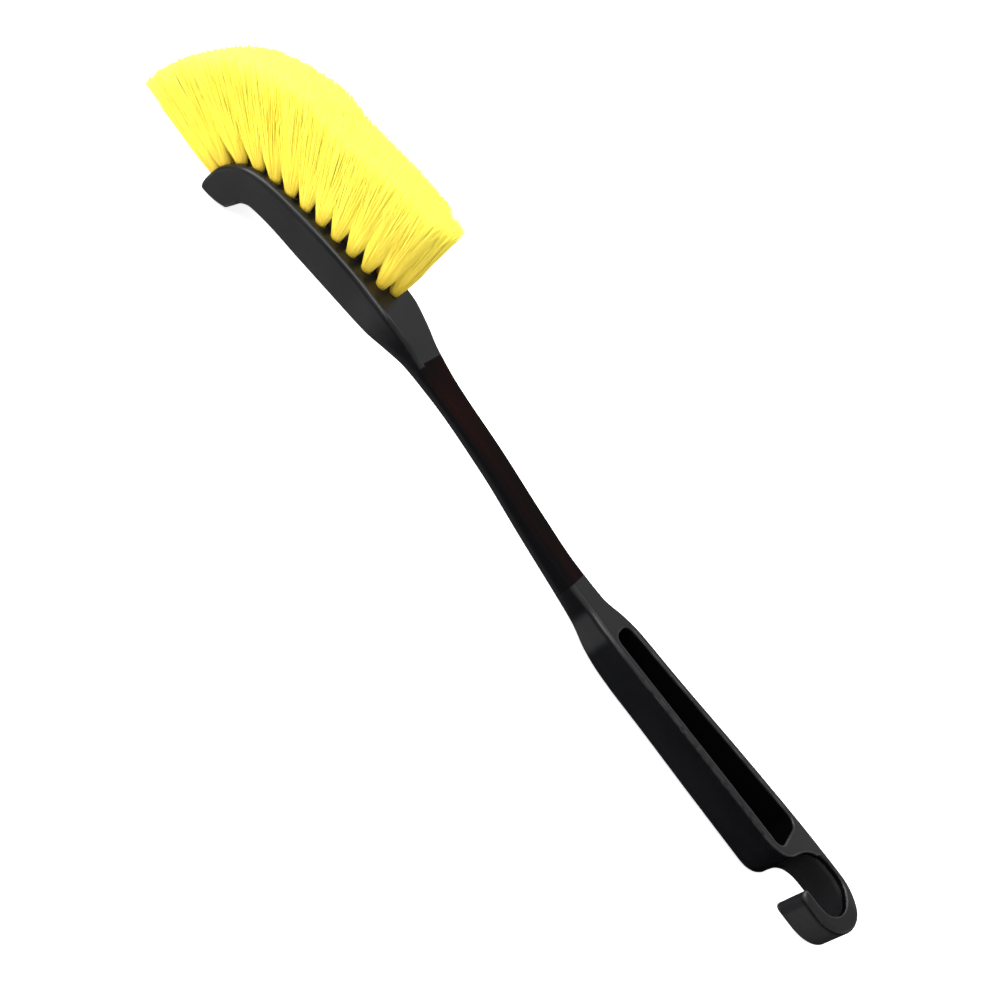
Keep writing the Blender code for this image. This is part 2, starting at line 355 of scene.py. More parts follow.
def surface_of(distance: Distance, axes: tuple[Array, Array, Array]) -> tuple[Array, Array]:
    """The surface where a signed distance is zero, as quads.

    The distance is worked out on a grid. Every cell it changes sign in gets one vertex, every
    grid edge it changes sign on gets one quad, and the vertices then settle on the surface.

    Args:
        distance: the solid's signed distance as a function of station, y and height.
        axes: the grid's places along X, Y and Z.

    Returns:
        The vertices and the quads.
    """
    ax, ay, az = axes
    values = distance(ax[:, None, None], ay[None, :, None], az[None, None, :])
    inside = values < 0
    count = sum(inside[i:i + len(ax) - 1, j:j + len(ay) - 1, k:k + len(az) - 1].astype(np.int8)
                for i, j, k in CELL_CORNERS)
    crossed = (count > 0) & (count < 8)
    number = np.full(crossed.shape, -1)
    number[crossed] = np.arange(crossed.sum())
    points = net_points(values, axes, np.argwhere(crossed))
    return settle_on(distance, points), net_quads(inside, number)


def bulge_of(points: Array, quads: Array) -> Array:
    """How strongly a surface bulges at each vertex, in 1/mm: positive on outer edges.

    For each mesh edge it takes the difference of the two normals along the edge over the edge's
    length squared, and averages it over the edges at a vertex.

    Args:
        points: the vertices.
        quads: four vertex numbers a row.

    Returns:
        One value for each vertex.
    """
    corner = points[quads]
    face = np.cross(corner[:, 2] - corner[:, 0], corner[:, 3] - corner[:, 1])
    normal = np.zeros_like(points)
    for k in range(4):
        np.add.at(normal, quads[:, k], face)
    normal /= np.maximum(np.linalg.norm(normal, axis=1, keepdims=True), TINY)
    total, count = np.zeros(len(points)), np.zeros(len(points))
    for k in range(4):
        a, b = quads[:, k], quads[:, (k + 1) % 4]
        run = points[b] - points[a]
        bend = ((normal[b] - normal[a]) * run).sum(1) / np.maximum((run**2).sum(1), 1e-6)
        for end in (a, b):
            np.add.at(total, end, bend)
            np.add.at(count, end, 1)
    return total / np.maximum(count, 1)


# ---------------- finishes


class Nodes:
    """A short way to write a material's node tree."""

    def __init__(self, name: str) -> None:
        """Makes an empty material with a Principled shader.

        Args:
            name: the material's name.
        """
        self.material = bpy.data.materials.new(name)
        self.material.use_nodes = True
        self.tree = self.material.node_tree
        self.shader = next(n for n in self.tree.nodes if n.type == "BSDF_PRINCIPLED")

    def add(self, kind: str, inputs: dict[str | int, object] | None = None,
            **properties: object) -> bpy.types.Node:
        """Adds a node.

        Args:
            kind: the node's type name.
            inputs: what goes into its input sockets, by their names or numbers.
            **properties: its own properties.

        Returns:
            The node.
        """
        node = self.tree.nodes.new(kind)
        for key, value in properties.items():
            setattr(node, key, value)
        for socket, value in (inputs or {}).items():
            self.put(node, socket, value)
        return node

    def put(self, node: bpy.types.Node, socket: str | int, value: object) -> None:
        """Links an output into an input socket, or sets the socket's own value.

        Args:
            node: the node that has the input.
            socket: the input's name or number.
            value: an output socket, a number, a vector, or a colour without its alpha.
        """
        target = node.inputs[socket]
        if isinstance(value, bpy.types.NodeSocket):
            self.tree.links.new(value, target)
        else:
            target.default_value = (*value, 1.0) if target.type == "RGBA" else value

    def place(self) -> bpy.types.NodeSocket:
        """The Object coordinates."""
        return self.add("ShaderNodeTexCoord").outputs["Object"]

    def stretched(self, scale: Colour) -> bpy.types.NodeSocket:
        """Object coordinates scaled by a factor for each axis."""
        mapping = self.add("ShaderNodeMapping", {"Vector": self.place(), "Scale": scale})
        return mapping.outputs["Vector"]

    def part(self, vector: bpy.types.NodeSocket, axis: str) -> bpy.types.NodeSocket:
        """One component of a vector: X, Y or Z."""
        return self.add("ShaderNodeSeparateXYZ", {0: vector}).outputs[axis]

    def noise(self, vector: bpy.types.NodeSocket, scale: float, detail: float = 3.0,
              roughness: float = 0.5) -> bpy.types.NodeSocket:
        """Fractal noise from 0 to 1 at a place, with scale features a metre."""
        node = self.add("ShaderNodeTexNoise", {"Vector": vector, "Scale": scale,
                                               "Detail": detail, "Roughness": roughness})
        return node.outputs["Fac"]

    def share(self, name: str) -> bpy.types.NodeSocket:
        """A number stored on the mesh's vertices under a name."""
        return self.add("ShaderNodeAttribute", attribute_name=name).outputs["Fac"]

    def math(self, operation: str, a: object, b: object = 0.0) -> bpy.types.NodeSocket:
        """One arithmetic step on two values, by the Math node's name for it."""
        return self.add("ShaderNodeMath", {0: a, 1: b}, operation=operation).outputs[0]

    def span(self, value: bpy.types.NodeSocket, low: float, high: float, to_low: float,
             to_high: float) -> bpy.types.NodeSocket:
        """Maps a value from one range to another, held at its ends."""
        entries = dict(enumerate((value, low, high, to_low, to_high)))
        return self.add("ShaderNodeMapRange", entries, clamp=True).outputs[0]

    def blend(self, share: object, a: object, b: object) -> bpy.types.NodeSocket:
        """Mixes two colours by how much of the second there is."""
        return self.add("ShaderNodeMix", {0: share, 6: a, 7: b}, data_type="RGBA").outputs[2]

    def bumped(self, height: bpy.types.NodeSocket, strength: float, depth: float) -> None:
        """Gives the surface fine relief, with its depth in metres."""
        node = self.add("ShaderNodeBump", {"Strength": strength, "Distance": depth,
                                           "Height": height})
        self.put(self.shader, "Normal", node.outputs[0])

    def set(self, **values: object) -> None:
        """Sets the shader's inputs by name, with _ for a space."""
        for key, value in values.items():
            self.put(self.shader, key.replace("_", " "), value)


@dataclass(frozen=True)
class MouldedPlastic:
    """Satin black polypropylene: faint grain, painted light on the sides of the head, the shoulder
    and the hook, and painted highlights with some wear on outer edges.
    """

    colour: Colour = (0.0022, 0.0022, 0.0029)
    flow_colour: Colour = (0.0042, 0.0042, 0.0052)
    side_light_colour: Colour = (0.0175, 0.0175, 0.0185)
    worn_edge_highlight_colour: Colour = (0.044, 0.044, 0.046)
    roughness: float = 0.32
    grain: float = 2600.0

    def make(self) -> bpy.types.Material:
        """Builds the material.

        Returns:
            The material.
        """
        n = Nodes("black_polypropylene")
        place = n.place()
        flow = n.noise(n.stretched((0.35, 1.0, 1.0)), 60.0, 4.0)
        base = n.blend(n.span(flow, 0.35, 0.7, 0.0, 1.0), self.colour, self.flow_colour)
        patch = n.span(n.noise(place, 140.0, 3.0), 0.42, 0.62, 0.45, 1.0)
        # Painted light: the sides of the head and hook, the neck's lower edge and the shoulder are
        # lightened as if lit more, broken up by stretched noise.
        side_light_breakup = n.span(n.noise(n.stretched((0.5, 1.0, 1.0)), 90.0, 4.0), 0.3, 0.7, 0.72, 1.0)
        base = n.blend(n.math("MULTIPLY", n.share("scuff"), side_light_breakup), base, self.side_light_colour)
        # Painted highlight with some edge wear: bulging outer edges, such as the pocket's near rim,
        # get a lighter colour in patches and a smoother surface.
        edge_wear_and_highlight = n.span(n.share("bulge"), 0.18, 0.55, 0.0, 1.0)
        edge_wear_and_highlight_share = n.math("MULTIPLY", n.math("MULTIPLY", edge_wear_and_highlight, patch), 0.8)
        base = n.blend(edge_wear_and_highlight_share, base, self.worn_edge_highlight_colour)
        rough = n.span(n.noise(place, 380.0, 4.0), 0.3, 0.7, self.roughness - 0.04,
                       self.roughness + 0.06)
        rough = n.math("SUBTRACT", rough, n.math("MULTIPLY", edge_wear_and_highlight, 0.05))
        relief = n.math("ADD", n.noise(place, self.grain, 2.0),
                        n.math("MULTIPLY", n.noise(place, 420.0, 2.0), 0.6))
        n.bumped(relief, 0.06, 0.0001)
        n.set(Base_Color=base, Roughness=rough, IOR=1.49, Specular_IOR_Level=0.30)
        return n.material


@dataclass(frozen=True)
class MattPlastic:
    """The same plastic where it is dull: the neck with its warm blank field and painted light along
    its lower edge, and deep walls darkened with painted shade.
    """

    colour: Colour = (0.0024, 0.0023, 0.0028)
    field_colour: Colour = (0.0026, 0.0016, 0.0017)
    warm_colour: Colour = (0.0075, 0.0019, 0.0016)
    side_light_colour: Colour = (0.0170, 0.0165, 0.0180)
    recess_shade_colour: Colour = (0.0008, 0.0008, 0.0010)
    recess_shade_start: float = 250.0
    roughness: float = 0.62

    def make(self) -> bpy.types.Material:
        """Builds the material.

        Returns:
            The material.
        """
        n = Nodes("matt_black_polypropylene")
        place = n.place()
        warm = n.span(n.noise(n.stretched((0.25, 1.6, 1.0)), 70.0, 3.0), 0.38, 0.66, 0.0, 1.0)
        field_tone = n.blend(warm, self.field_colour, self.warm_colour)
        facing_up = n.part(n.add("ShaderNodeNewGeometry").outputs["Normal"], "Z")
        base = n.blend(n.span(facing_up, 0.60, 0.90, 0.0, 1.0), self.colour, field_tone)
        # Painted light: the neck's lower edge is lightened.
        base = n.blend(n.share("scuff"), base, self.side_light_colour)
        # Painted shade: past the pocket's start every matt face, the pocket's walls and the line
        # below the gap's edge, is darkened.
        start = (self.recess_shade_start + NOSE_X_MM) * MM
        base = n.blend(n.span(n.part(place, "X"), start, start + MM, 0.0, 1.0), base,
                       self.recess_shade_colour)
        rough = n.span(n.noise(place, 600.0, 3.0), 0.3, 0.7, self.roughness - 0.06,
                       self.roughness + 0.06)
        n.bumped(n.noise(place, 2600.0, 2.0), 0.12, 0.0001)
        n.set(Base_Color=base, Roughness=rough, IOR=1.49, Specular_IOR_Level=0.03)
        return n.material


@dataclass(frozen=True)
class FilamentFinish:
    """Bright yellow filament, with painted shade deeper at the root and on the rear tufts, and
    painted light paler at the tip.
    """

    root_shade_colour: Colour = (0.66, 0.42, 0.036)
    body_colour: Colour = (0.98, 0.87, 0.085)
    lit_tip_colour: Colour = (0.98, 0.94, 0.115)
    shade_colour: Colour = (0.97, 0.78, 0.065)
    rear_shade_colour: Colour = (0.78, 0.56, 0.050)
    rear_shade_start: float = -0.128
    rear_shade_end: float = -0.092
    roughness: float = 0.42

    def make(self) -> bpy.types.Material:
        """Builds the material.

        Returns:
            The material.
        """
        n = Nodes("yellow_filament")
        along, tone = n.share("along"), n.share("tone")
        # Painted shade and light: from a shaded orange at the root to the lit body and a paler lit
        # tip.
        base = n.blend(n.span(along, 0.04, 0.44, 0.0, 1.0), self.root_shade_colour, self.body_colour)
        base = n.blend(n.span(along, 0.55, 1.0, 0.0, 1.0), base, self.lit_tip_colour)
        drift = n.noise(n.stretched((1.0, 1.0, 0.4)), 160.0, 3.0)
        shade = n.math("MULTIPLY", n.math("ADD", tone, n.span(drift, 0.35, 0.65, -0.4, 0.4)), 0.5)
        base = n.blend(n.span(shade, 0.1, 0.5, 0.0, 0.45), base, self.shade_colour)
        # Painted shade: the rearmost tufts, whose rear-facing side is in shade, turn deeper orange,
        # less towards their tips.
        rear = n.span(n.part(n.place(), "X"), self.rear_shade_start, self.rear_shade_end, 0.0, 0.75)
        base = n.blend(n.math("MULTIPLY", rear, n.span(along, 0.6, 1.0, 1.0, 0.2)), base,
                       self.rear_shade_colour)
        rough = n.span(n.noise(n.place(), 900.0, 2.0), 0.3, 0.7, self.roughness - 0.06,
                       self.roughness + 0.10)
        n.bumped(n.noise(n.place(), 3200.0, 2.0), 0.10, 0.00005)
        n.set(Base_Color=base, Roughness=rough, IOR=1.5)
        return n.material


@dataclass(frozen=True)
class SteelFinish:
    """Galvanised steel strip with a fine crystal pattern and dull patches."""

    colour: Colour = (0.56, 0.57, 0.59)
    dull_colour: Colour = (0.38, 0.39, 0.41)

    def make(self) -> bpy.types.Material:
        """Builds the material.

        Returns:
            The material.
        """
        n = Nodes("galvanised_steel")
        place = n.place()
        spangle = n.add("ShaderNodeTexVoronoi", {"Vector": place, "Scale": 900.0})
        dull = n.span(n.noise(place, 700.0, 3.0), 0.35, 0.65, 0.0, 1.0)
        base = n.blend(dull, self.colour, self.dull_colour)
        rough = n.span(spangle.outputs["Distance"], 0.0, 0.8, 0.28, 0.48)
        n.bumped(n.noise(n.stretched((1.0, 1.0, 6.0)), 2400.0, 2.0), 0.15, 0.00004)
        n.set(Base_Color=base, Roughness=rough, Metallic=1.0)
        return n.material


@dataclass(frozen=True)
class FloorFinish:
    """Matt white acrylic light table with a trace of tooth."""

    colour: Colour = (0.93, 0.93, 0.93)
    glow: float = 0.80

    def make(self) -> bpy.types.Material:
        """Builds the material.

        Returns:
            The material.
        """
        n = Nodes("white_light_table")
        tooth = n.noise(n.place(), 900.0, 2.0)
        shade = tuple(c * 0.985 for c in self.colour)
        n.set(Base_Color=n.blend(tooth, self.colour, shade), Roughness=0.9,
              Specular_IOR_Level=0.1, Emission_Color=(1.0, 1.0, 1.0), Emission_Strength=self.glow)
        return n.material


# ---------------- the handle


@dataclass(frozen=True)
class Tuft:
    """Where one tuft stands.

    Attributes:
        name: the CAD node's name.
        root: station, y and height where its axis leaves the head.
        way: its axis.
        front_fan: how far its front filaments spread towards the nose, in degrees.
        rear_fan: how far its rear filaments spread towards the neck, in degrees.
        slant: how much longer its filaments are for each millimetre towards the neck.
    """

    name: str
    root: Array
    way: Array
    front_fan: float
    rear_fan: float
    slant: float = 0.0

    def across(self) -> Array:
        """The direction square to the axis that points along the row, away from the nose."""
        direction = np.cross([0.0, 1.0, 0.0], self.way)
        return direction / np.linalg.norm(direction)


@dataclass
class Handle:
    """The one-piece moulding: head, neck, pocketed grip and open hook. Sizes in millimetres."""

    length: float = 430.0
    underside: Profile = Profile((
        (0, 0.6), (0.6, -1.4), (1.8, -3), (15.2, -0.1), (18.8, 7.2), (24, 10.6), (56, 14),
        (92, 17), (118, 19.4), (136, 19), (173, 15.2), (208, 9.5), (243, 4.4), (268, 0.9),
        (290, 0), (430, 0)))
    top: Profile = Profile((
        (0, 4.2), (1.3, 9.6), (5.5, 17), (12, 22.4), (22, 26), (39, 29), (60, 31.4), (82, 32.5),
        (96, 32.2), (110, 30.4), (122, 27.9), (138, 25.3), (173, 22.8), (208, 18.9), (232, 16.8),
        (250, 16.6), (268, 17.9), (290, 18.4), (385, 19.9), (400, 19.8), (430, 19)))
    half_width: Profile = Profile((
        (0, 12.3), (2, 12.9), (30, 12.9), (70, 13.4), (96, 13.5), (108, 11.9), (120, 9.8),
        (138, 9), (160, 8.2), (185, 7.5), (230, 7.1), (250, 7.3), (262, 9.6), (274, 10.9),
        (300, 11.3), (340, 12.8), (390, 14.2), (412, 14.5)))
    edge: Profile = Profile(((0, 0.8), (14, 1.2), (100, 1.6), (125, 2.4), (240, 2.6), (275, 2),
                             (430, 1.8)))
    top_edge: Profile = Profile(((0, 1.4), (5, 2.9), (40, 3.0), (80, 2.2), (125, 2.4),
                                 (240, 2.6), (275, 1.8), (430, 1.8)))
    hook_end_start: float = 412.0
    pocket_core: Points = ((271, -1.6), (376, -5.2), (376, 5.2), (271, 1.6))
    pocket_corner: float = 5.0
    pocket_floor: float = 3.5
    pocket_floor_edge: float = 1.5
    pocket_rim: float = 0.7
    gap_line: Points = (
        (368, -14.6), (376, -13.9), (383, -11.2), (387, -7), (389.4, -1.6), (392, 3.4),
        (396, 7.6), (401.5, 10), (407, 10.5), (412, 10.2), (417.4, 7.8), (420.6, 3.8),
        (421.4, -0.6), (420, -5), (416.4, -8.3), (411, -9.6), (402.6, -9.8), (401.2, -11),
        (401.4, -12.6), (402.8, -14), (405.4, -15.2))
    gap_outside: float = -20.0
    gap_rim: float = 0.9
    strap_chamfer: float = 1.5
    strap_chamfer_depth: float = 4.4
    tip_drop: float = 3.3
    tip_drop_from: float = 6.0
    tip_drop_to: float = -12.0
    tip_drop_start: float = 397.0
    hole_radius: float = 2.6
    hole_depth: float = 7.0
    hole_rim: float = 0.35
    no_hole_near: float = 50.0
    field_start: float = 124.0
    field_end: float = 237.0
    on_wall: float = 0.4
    grid_bands: tuple[tuple[float, float, float], ...] = (
        (-1.2, 100, 0.68), (100, 242, 1.5), (242, 286, 0.8), (286, 372, 1.5), (372, 431.5, 0.6))
    grid_across: tuple[float, float, float] = (-15.73, 15.8, 0.58)
    grid_up: tuple[float, float, float] = (-4.13, 34.2, 0.58)
    tufts: list[Tuft] = field(default_factory=list)

    def __post_init__(self) -> None:
        """Works out the two outlines that are cut from the moulding."""
        line = spline_through(self.gap_line)
        ends = np.array([(line[-1, 0], self.gap_outside), (line[0, 0], self.gap_outside)])
        self.gap_outline = np.vstack([line, ends])
        self.pocket_outline = np.array(self.pocket_core, float)

    def crest(self, s: Array, y: Array) -> Array:
        """Height of the top face, with the hook's top sloping down towards its tip.

        Args:
            s: stations.
            y: sideways places.

        Returns:
            The heights.
        """
        fall = self.tip_drop / (self.tip_drop_from - self.tip_drop_to)
        beyond = self.tip_drop_from - y
        ramp = 0.5 * (beyond + np.sqrt(beyond**2 + 2.0))
        return self.top(s) - fall * ramp * ease(s, self.tip_drop_start - 4, self.tip_drop_start)

    def body(self, s: Array, y: Array, z: Array) -> Array:
        """Signed distance to the uncut handle.

        It is the part shared by an upright wall along the plan outline, the space between the
        underside and the top, and the space behind the nose, with rounded edges. The plan
        outline is the half-width's curve and, past the hook's bend, an ellipse.

        Args:
            s: stations.
            y: sideways places.
            z: heights.

        Returns:
            The distances.
        """
        wide, wide_slope = self.half_width(s), self.half_width.slope(s)
        straight = (np.abs(y) - wide) / np.sqrt(1 + wide_slope**2)
        reach, half = self.length - self.hook_end_start, float(self.half_width(self.hook_end_start))
        past = np.maximum(s - self.hook_end_start, 0)
        near = np.sqrt((past / reach) ** 2 + (y / half) ** 2)
        steep = np.sqrt((past / reach**2) ** 2 + (y / half**2) ** 2)
        curved = near * (near - 1) / np.maximum(steep, 1e-6)
        plan = np.where(s > self.hook_end_start, curved, straight)
        under = (self.underside(s) - z) / np.sqrt(1 + self.underside.slope(s) ** 2)
        over = (z - self.crest(s, y)) / np.sqrt(1 + self.top.slope(s) ** 2)
        return np.maximum(rounded_meet([plan, under, -s], self.edge(s)),
                          rounded_meet([plan, over, -s], self.top_edge(s)))

    def pocket(self, s: Array, y: Array, z: Array) -> Array:
        """Signed distance to the grip's pocket: a tapered slot above its floor.

        Args:
            s: stations.
            y: sideways places.
            z: heights.

        Returns:
            The distances.
        """
        plan = outline_distance(s, y, self.pocket_outline) - self.pocket_corner
        draft = 0.02 * (z - self.top(s))
        return rounded_meet([plan - draft, self.pocket_floor - z], self.pocket_floor_edge)

    def gap(self, s: Array, y: Array, z: Array) -> Array:
        """Signed distance to the hook's gap, wider along the strap near the top.

        Args:
            s: stations.
            y: sideways places.
            z: heights.

        Returns:
            The distances.
        """
        plan = outline_distance(s, y, self.gap_outline)
        up = np.clip((z - self.top(s)) / self.strap_chamfer_depth + 1, 0, 1.3)
        along = ease(s, 397.0, 399.0) * (1 - ease(s, 414.0, 421.0)) * ease(y, 2.0, 6.0)
        return plan - self.strap_chamfer * up * along

    def holes(self, s: Array, y: Array, z: Array) -> Array:
        """Signed distance to the nearest tuft hole: a cylinder that starts at its bottom.

        Args:
            s: stations.
            y: sideways places.
            z: heights.

        Returns:
            The distances.
        """
        nearest = np.full(np.broadcast_shapes(s.shape, y.shape, z.shape), self.no_hole_near)
        for tuft in self.tufts:
            ds, dy, dz = s - tuft.root[0], y - tuft.root[1], z - tuft.root[2]
            along = ds * tuft.way[0] + dy * tuft.way[1] + dz * tuft.way[2]
            off = np.sqrt(np.maximum(ds**2 + dy**2 + dz**2 - along**2, 0)) - self.hole_radius
            nearest = np.minimum(nearest, np.maximum(off, -along - self.hole_depth))
        return nearest

    def distance(self, s: Array, y: Array, z: Array) -> Array:
        """Signed distance to the finished moulding: the body less the pocket, gap and holes.

        Args:
            s: stations.
            y: sideways places.
            z: heights.

        Returns:
            The distances.
        """
        solid = rounded_meet([self.body(s, y, z), -self.pocket(s, y, z)], self.pocket_rim)
        solid = rounded_meet([solid, -self.gap(s, y, z)], self.gap_rim)
        return rounded_meet([solid, -self.holes(s, y, z)], self.hole_rim)

    def grid(self) -> tuple[Array, Array, Array]:
        """Grid places along X, Y and Z, closer together where the shape turns quickly."""
        along = np.concatenate([np.arange(*band) for band in self.grid_bands])
        return along, np.arange(*self.grid_across), np.arange(*self.grid_up)

    def painted_side_light_share(self, points: Array) -> Array:
        """How much painted light brightens the sides of the head and hook and the shoulder.

        Below the top's rounded edge the head gets this painted light until it narrows to the neck,
        the neck only along its lower edge, the grip only where its front flares out, and the hook
        all round but less on its inner wall.

        Args:
            points: station, y and height of each vertex.

        Returns:
            A share from 0 to 1 for each vertex.
        """
        s, y, z = points.T
        # Painted light: these shares say where the surface colour is lightened to stand for light
        # falling on it.
        side = ease(self.crest(s, y) - z, 1.6, 3.4)
        head = 1 - ease(s, 92.0, 114.0)
        lower = ease(s, 98.0, 112.0) * (1 - ease(s, 238.0, 252.0))
        lower *= 0.6 * (1 - ease(z - self.underside(s), 1.0, 5.0))
        flare = ease(s, 248.0, 252.5) * (1 - ease(s, 263.0, 267.0))
        inner = 1 - ease(np.abs(self.gap(s, y, z)), 0.4, 1.2)
        hook = ease(s, 388.0, 398.0) * (1 - 0.55 * inner)
        return side * np.clip(head + lower + flare + hook, 0, 1)

    def matt_faces(self, points: Array, quads: Array) -> Array:
        """Which faces are matt: the neck, and the pocket's inside and a line below the gap's edge,
        which get painted shade.

        Args:
            points: the vertices.
            quads: four vertex numbers a row.

        Returns:
            1 for a matt face and 0 for a satin one.
        """
        s, y, z = points[quads].mean(1).T
        depth = self.top(s) - z
        neck = (s > self.field_start) & (s < self.field_end)
        pocket = (np.abs(self.pocket(s, y, z)) < self.on_wall) & (depth > 1.3)
        # The line is a dark band of painted shade along the strap's inner top edge.
        line = (np.abs(self.gap(s, y, z)) < self.on_wall) & (depth > 0.9) & (depth < 2.6)
        return (neck | pocket | (line & (y > -8))).astype(np.int32)

    def build(self, satin: bpy.types.Material, matt: bpy.types.Material) -> None:
        """Makes the moulding's mesh and dresses it.

        Args:
            satin: the material of most of it.
            matt: the material of its dull faces.
        """
        points, quads = surface_of(self.distance, self.grid())
        moulding = new_mesh("handle_moulding", points, quads)
        add_share(moulding, "bulge", bulge_of(points, quads))
        # The painted light on the sides goes to both materials as a share.
        add_share(moulding, "scuff", self.painted_side_light_share(points))
        moulding.data.materials.append(satin)
        moulding.data.materials.append(matt)
        moulding.data.polygons.foreach_set("material_index", self.matt_faces(points, quads))
        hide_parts("handle")
        LOG.info("handle: %d quads", len(quads))


# ---------------- the tufts


@dataclass
class TuftField:
    """The rows of tufts on the head. Sizes in millimetres, angles in degrees."""

    top: Profile
    pitch: float = 9.1
    near_count: int = 12
    far_count: int = 11
    first_arc: float = 0.3
    last_station: float = 85.7
    end_station: float = 91.0
    end_y: float = 2.3
    row_y: float = 6.4
    rear_y: float = 2.6
    turn_start: float = 30.0
    front_lean: float = 77.0
    largest_lean: float = 75.5
    final_lean: float = -8.0
    lean_decay: float = 53.0
    front_arc: float = 2.8
    splay: float = 5.0
    own_fan: float = 7.5
    free_length: float = 46.0
    front_limit: float = 80.0
    rear_limit: float = 1.5

    def layout(self) -> list[Tuft]:
        """Places every tuft along the head's top, measured along its surface.

        A tuft leans forward by an angle that fades exponentially with the length of surface
        from the nose, leans outwards by the splay, and fans out by its own fan plus half the
        angle to its neighbour, up to the field's front and rear limits.

        Returns:
            The tufts.
        """
        station = np.linspace(0, 110, 4000)
        height = self.top(station)
        arc = np.concatenate([[0], np.cumsum(np.hypot(np.diff(station), np.diff(height)))])
        last = float(np.interp(self.last_station, station, arc))
        tufts = []
        for row, count, shift in ((Row.NEAR, self.near_count, 0.0), (Row.FAR, self.far_count, 0.5)):
            line = []
            for k in range(count):
                along = max(self.first_arc, last - (count - 1 - k + shift) * self.pitch)
                s = float(np.interp(along, arc, station))
                name = f"tuft_{row.name.lower()}_{k + 1:02d}"
                line.append(self.tuft(name, s, along, row))
            tufts.extend(self.slanted(line))
        end_arc = float(np.interp(self.end_station, station, arc))
        return [*tufts, self.tuft("tuft_end", self.end_station, end_arc, Row.END)]

    def slanted(self, line: Sequence[Tuft]) -> list[Tuft]:
        """Slants the ends of a row's tufts so that they meet in one smooth outline.

        A tuft's slant is the slope, seen along its axis, of the run from the tip of the tuft
        before it to the tip of the one after it.

        Args:
            line: the tufts of one row, in order.

        Returns:
            The same tufts with their slants.
        """
        tips = np.array([tuft.root + self.free_length * tuft.way for tuft in line])
        runs = np.gradient(tips, axis=0)
        return [replace(tuft, slant=float(run @ tuft.way / (run @ tuft.across())))
                for tuft, run in zip(line, runs)]

    def tuft(self, name: str, s: float, along: float, row: Row) -> Tuft:
        """Places one tuft.

        Args:
            name: its node's name.
            s: its station.
            along: length of surface from the nose.
            row: the row it stands in.

        Returns:
            The tuft.
        """
        side = row.value
        turn = np.clip((s - self.turn_start) / (self.last_station - self.turn_start), 0, 1)
        y = side * (self.row_y + (self.rear_y - self.row_y) * turn**2) if side else self.end_y
        fade = math.exp((self.front_arc - along) / self.lean_decay)
        swing = (self.front_lean - self.final_lean) * fade
        lean = min(self.largest_lean, self.final_lean + swing)
        fan = self.own_fan + 0.5 * self.pitch * swing / self.lean_decay
        front, rear = min(fan, self.front_limit - lean), min(fan, lean - self.rear_limit)
        lean = math.radians(lean)
        out = math.radians(side * self.splay)
        way = np.array([-math.sin(lean) * math.cos(out), math.sin(out),
                        math.cos(lean) * math.cos(out)])
        root = np.array([s, float(y), float(self.top(np.array(s)))])
        return Tuft(name, root, way, front, rear)


